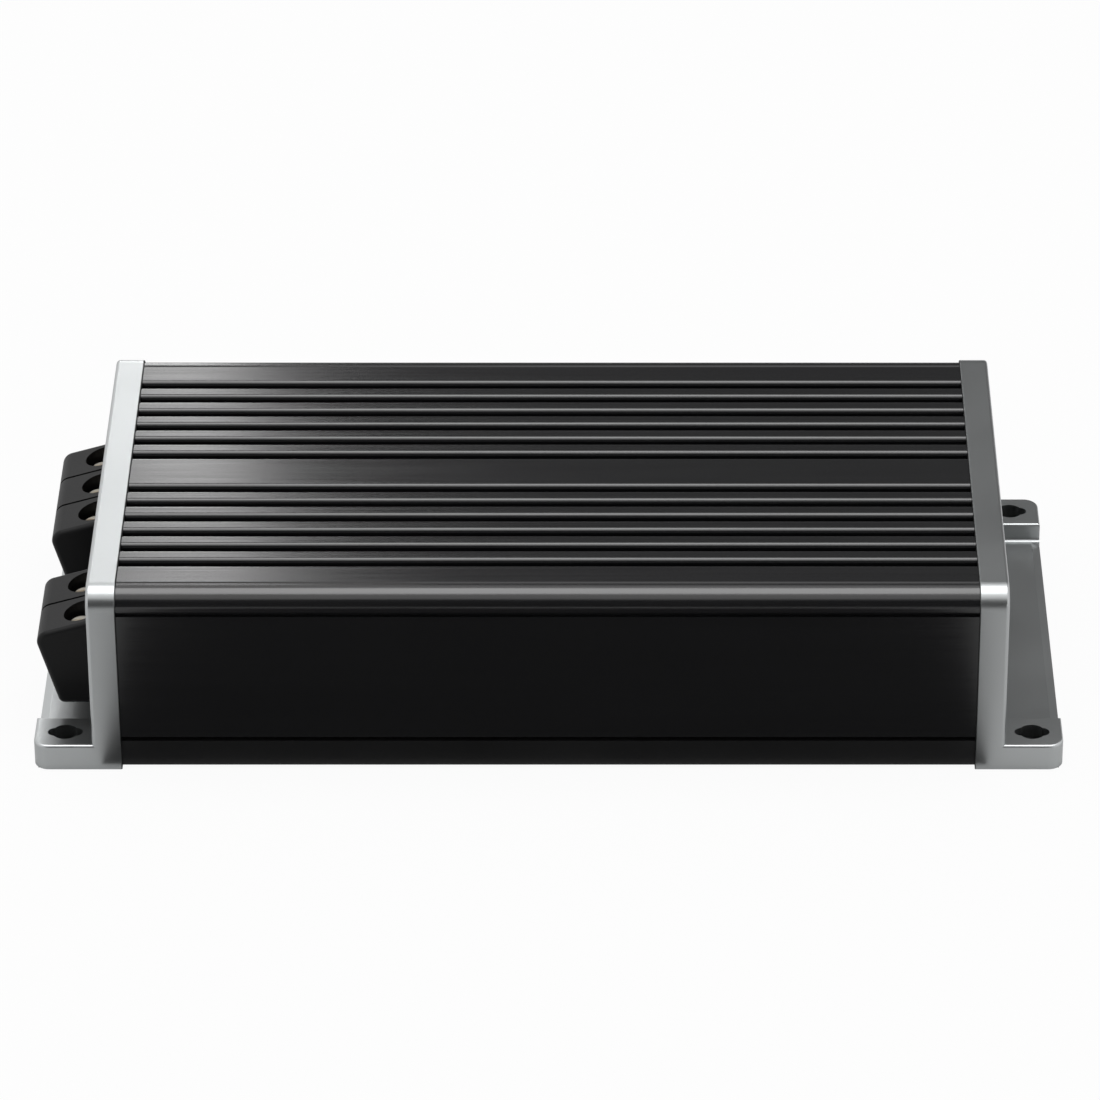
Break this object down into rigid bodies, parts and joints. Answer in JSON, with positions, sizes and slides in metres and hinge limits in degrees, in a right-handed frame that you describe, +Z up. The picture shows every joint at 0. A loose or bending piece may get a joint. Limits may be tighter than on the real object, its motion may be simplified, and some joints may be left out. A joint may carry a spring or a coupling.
{
  "type": "car amplifier",
  "caption": "Compact car audio amplifier: finned black case between grey metal end caps with slotted feet, screw wire terminals at one end and controls at the other.",
  "frame": {"origin": "middle of the plane that the feet stand on", "axes": "+X from the wire terminals to the controls, +Y from front to back, +Z up"},
  "size_m": [0.205, 0.0966, 0.041],
  "materials": {
    "case_black": "black anodised, fine lengthwise brushing",
    "tray_black": "satin black coated sheet",
    "dark_screw": "black-zinc steel screw",
    "cap_metal": "satin grey metallic cast end cap",
    "panel_black": "fine-textured black panel",
    "terminal_black": "black glass-filled moulding",
    "copper_bar": "tin-flashed copper bar",
    "pin_metal": "gold-flashed contact",
    "board_green": "solder-masked glass-epoxy board",
    "control_body": "moulded switch and pot bodies",
    "button_grey": "satin dark grey button",
    "lamp_lens": "diffused lamp",
    "bright_screw": "zinc-plated steel screw",
    "insulator": "translucent insulating film",
    "capacitor_sleeve": "shrink sleeve over an aluminium can",
    "film_box": "moulded capacitor box",
    "transistor_black": "moulded package",
    "pad_grey": "filled silicone pad",
    "clamp_steel": "plain steel bar",
    "ferrite": "powder core",
    "winding_copper": "enamelled copper wire",
    "knob_black": "fine satin black knob",
    "terminal_screw": "nickel-washed brass, turned",
    "cage_steel": "zinc-plated pressed cage"
  },
  "bodies": {
    "case": {"base_screws": "dark_screw", "base_tray": "tray_black", "board_screws": "bright_screw", "bulk_capacitors": "capacitor_sleeve", "clamp_bars": "clamp_steel", "clamp_screws": "bright_screw", "control_board": "board_green", "control_panel": "panel_black", "film_capacitor": "film_box", "heatsink_shell": "case_black", "inductor_core": "ferrite", "inductor_winding": "winding_copper", "input_header": "terminal_black", "input_header_pins": "pin_metal", "insulator_sheet": "insulator", "left_cap_screws": "dark_screw", "left_end_cap": "cap_metal", "level_pots": "control_body", "main_board": "board_green", "power_contact_bars": "copper_bar", "power_terminal_housing": "terminal_black", "power_transistors": "transistor_black", "remote_jack": "terminal_black", "remote_jack_contacts": "pin_metal", "right_cap_screws": "dark_screw", "right_end_cap": "cap_metal", "signal_chips": "transistor_black", "slide_switch_bodies": "control_body", "speaker_contact_bars": "copper_bar", "speaker_terminal_housing": "terminal_black", "status_leds": "lamp_lens", "tact_switch": "control_body", "terminal_panel": "panel_black", "thermal_pads": "pad_grey", "transformer_core": "ferrite", "transformer_winding": "winding_copper"},
    "speaker_clamp_screw_1": {"speaker_clamp_screw_1": "terminal_screw"},
    "speaker_clamp_cage_1": {"speaker_clamp_cage_1": "cage_steel"},
    "speaker_clamp_screw_2": {"speaker_clamp_screw_2": "terminal_screw"},
    "speaker_clamp_cage_2": {"speaker_clamp_cage_2": "cage_steel"},
    "power_clamp_screw_1": {"power_clamp_screw_1": "terminal_screw"},
    "power_clamp_cage_1": {"power_clamp_cage_1": "cage_steel"},
    "power_clamp_screw_2": {"power_clamp_screw_2": "terminal_screw"},
    "power_clamp_cage_2": {"power_clamp_cage_2": "cage_steel"},
    "power_clamp_screw_3": {"power_clamp_screw_3": "terminal_screw"},
    "power_clamp_cage_3": {"power_clamp_cage_3": "cage_steel"},
    "gain_knob": {"gain_knob": "knob_black"},
    "crossover_knob": {"crossover_knob": "knob_black"},
    "boost_knob": {"boost_knob": "knob_black"},
    "input_range_slider": {"input_range_slider": "button_grey"},
    "auto_start_slider": {"auto_start_slider": "button_grey"},
    "setup_button": {"setup_button": "button_grey"}
  },
  "joints": [
    {"name": "speaker_clamp_screw_1_turn", "type": "hinge", "parent": "case", "child": "speaker_clamp_screw_1", "pos_m": [-0.0932, -0.0298, 0.0216], "axis": [0, 0, 1], "range_deg": [-1440, 0]},
    {"name": "speaker_clamp_cage_1_rise", "type": "slide", "parent": "case", "child": "speaker_clamp_cage_1", "axis": [0, 0, 1], "range_m": [0, 0.0028]},
    {"name": "speaker_clamp_screw_2_turn", "type": "hinge", "parent": "case", "child": "speaker_clamp_screw_2", "pos_m": [-0.0932, -0.0188, 0.0216], "axis": [0, 0, 1], "range_deg": [-1440, 0]},
    {"name": "speaker_clamp_cage_2_rise", "type": "slide", "parent": "case", "child": "speaker_clamp_cage_2", "axis": [0, 0, 1], "range_m": [0, 0.0028]},
    {"name": "power_clamp_screw_1_turn", "type": "hinge", "parent": "case", "child": "power_clamp_screw_1", "pos_m": [-0.0932, 0.0092, 0.0216], "axis": [0, 0, 1], "range_deg": [-1440, 0]},
    {"name": "power_clamp_cage_1_rise", "type": "slide", "parent": "case", "child": "power_clamp_cage_1", "axis": [0, 0, 1], "range_m": [0, 0.0028]},
    {"name": "power_clamp_screw_2_turn", "type": "hinge", "parent": "case", "child": "power_clamp_screw_2", "pos_m": [-0.0932, 0.0202, 0.0216], "axis": [0, 0, 1], "range_deg": [-1440, 0]},
    {"name": "power_clamp_cage_2_rise", "type": "slide", "parent": "case", "child": "power_clamp_cage_2", "axis": [0, 0, 1], "range_m": [0, 0.0028]},
    {"name": "power_clamp_screw_3_turn", "type": "hinge", "parent": "case", "child": "power_clamp_screw_3", "pos_m": [-0.0932, 0.0312, 0.0216], "axis": [0, 0, 1], "range_deg": [-1440, 0]},
    {"name": "power_clamp_cage_3_rise", "type": "slide", "parent": "case", "child": "power_clamp_cage_3", "axis": [0, 0, 1], "range_m": [0, 0.0028]},
    {"name": "gain_knob_turn", "type": "hinge", "parent": "case", "child": "gain_knob", "pos_m": [0.0864, 0.005, 0.026], "axis": [1, 0, 0], "range_deg": [-140, 140]},
    {"name": "crossover_knob_turn", "type": "hinge", "parent": "case", "child": "crossover_knob", "pos_m": [0.0864, 0.01757, 0.026], "axis": [1, 0, 0], "range_deg": [-140, 140]},
    {"name": "boost_knob_turn", "type": "hinge", "parent": "case", "child": "boost_knob", "pos_m": [0.0864, 0.03013, 0.026], "axis": [1, 0, 0], "range_deg": [-140, 140]},
    {"name": "input_range_slider_slide", "type": "slide", "parent": "case", "child": "input_range_slider", "axis": [0, 1, 0], "range_m": [0, 0.0024]},
    {"name": "auto_start_slider_slide", "type": "slide", "parent": "case", "child": "auto_start_slider", "axis": [0, 1, 0], "range_m": [0, 0.0024]},
    {"name": "setup_button_press", "type": "slide", "parent": "case", "child": "setup_button", "axis": [-1, 0, 0], "range_m": [0, 0.0008], "stiffness_N_per_m": 1200, "springref_m": -0.0003}
  ],
  "couplings": [
    {"joint": "speaker_clamp_screw_1_turn", "follows": "speaker_clamp_cage_1_rise", "rad_per_m": -8976},
    {"joint": "speaker_clamp_screw_2_turn", "follows": "speaker_clamp_cage_2_rise", "rad_per_m": -8976},
    {"joint": "power_clamp_screw_1_turn", "follows": "power_clamp_cage_1_rise", "rad_per_m": -8976},
    {"joint": "power_clamp_screw_2_turn", "follows": "power_clamp_cage_2_rise", "rad_per_m": -8976},
    {"joint": "power_clamp_screw_3_turn", "follows": "power_clamp_cage_3_rise", "rad_per_m": -8976}
  ]
}
